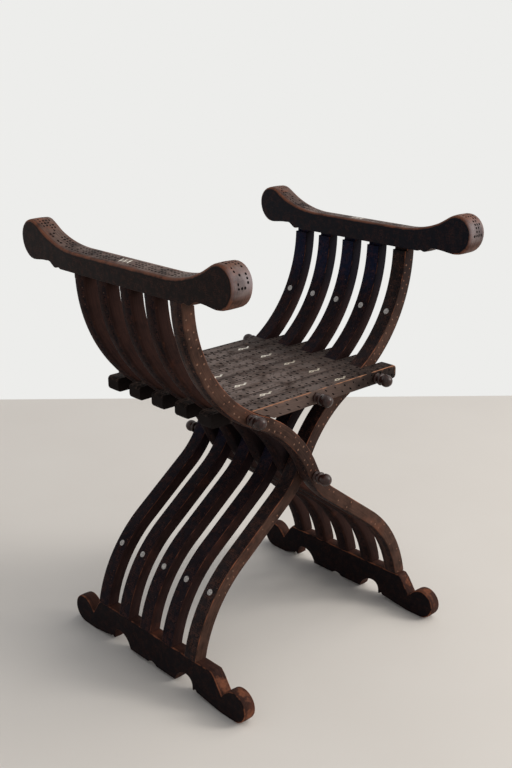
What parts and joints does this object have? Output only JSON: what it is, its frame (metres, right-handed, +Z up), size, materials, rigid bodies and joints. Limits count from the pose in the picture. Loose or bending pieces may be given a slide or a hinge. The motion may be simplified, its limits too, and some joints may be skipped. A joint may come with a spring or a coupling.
{
  "type": "savonarola chair",
  "caption": "Folding armchair without a back: crossed frames of curved wooden staves, slatted seat, scrolled arms, runner feet, chip carving and shell inlay.",
  "frame": {"origin": "on the floor, midway between the two feet and midway along the arms, under the crossing rod", "axes": "+Z up, the chair faces -Y, its left arm is at -X; the fold is about an axis along Y"},
  "size_m": [0.5768, 0.55, 0.7786],
  "materials": {
    "carved_wood": "dark stained walnut, carved all over, waxed, worn reddish brown on edges",
    "turned_wood": "turned dark stained wood, waxed",
    "mother_of_pearl": null
  },
  "bodies": {
    "left_frame": {"left_arm": "carved_wood", "left_arm_inlay": "mother_of_pearl", "left_stave_upper_discs": "mother_of_pearl", "left_stave_lower_discs": "mother_of_pearl", "right_foot": "carved_wood", "crossing_rod": "turned_wood", "crossing_rod_back_knob": "turned_wood", "left_hinge_rod": "turned_wood", "left_stave_1": "carved_wood", "left_stave_2": "carved_wood", "left_stave_3": "carved_wood", "left_stave_4": "carved_wood", "left_stave_5": "carved_wood"},
    "right_frame": {"right_arm": "carved_wood", "right_arm_inlay": "mother_of_pearl", "right_stave_upper_discs": "mother_of_pearl", "right_stave_lower_discs": "mother_of_pearl", "left_foot": "carved_wood", "right_hinge_rod": "turned_wood", "right_hinge_rod_back_knob": "turned_wood", "right_stave_1": "carved_wood", "right_stave_2": "carved_wood", "right_stave_3": "carved_wood", "right_stave_4": "carved_wood", "right_stave_5": "carved_wood"},
    "right_planks": {"right_plank_1": "carved_wood", "right_plank_2": "carved_wood", "right_plank_3": "carved_wood", "right_plank_4": "carved_wood", "right_plank_5": "carved_wood", "right_plank_inlays": "mother_of_pearl", "middle_rod": "turned_wood", "middle_rod_back_knob": "turned_wood"},
    "left_planks": {"left_plank_1": "carved_wood", "left_plank_2": "carved_wood", "left_plank_3": "carved_wood", "left_plank_4": "carved_wood", "left_plank_5": "carved_wood", "left_plank_inlays": "mother_of_pearl", "left_hinge_back_knob": "turned_wood"}
  },
  "joints": [
    {"name": "fold", "type": "hinge", "parent": "left_frame", "child": "right_frame", "pos_m": [0, 0, 0.34489], "axis": [0, -1, 0], "range_deg": [0, 48]},
    {"name": "right_planks_hinge", "type": "hinge", "parent": "right_frame", "child": "right_planks", "pos_m": [0.15246, 0, 0.48914], "axis": [0, 1, 0], "range_deg": [0, 82.08]},
    {"name": "middle_hinge", "type": "hinge", "parent": "right_planks", "child": "left_planks", "pos_m": [0, 0, 0.48914], "axis": [0, -1, 0], "range_deg": [0, 116.16]}
  ],
  "couplings": [
    {"joint": "right_planks_hinge", "follows": "fold", "ratio": 1.71},
    {"joint": "middle_hinge", "follows": "fold", "ratio": 2.4201}
  ]
}
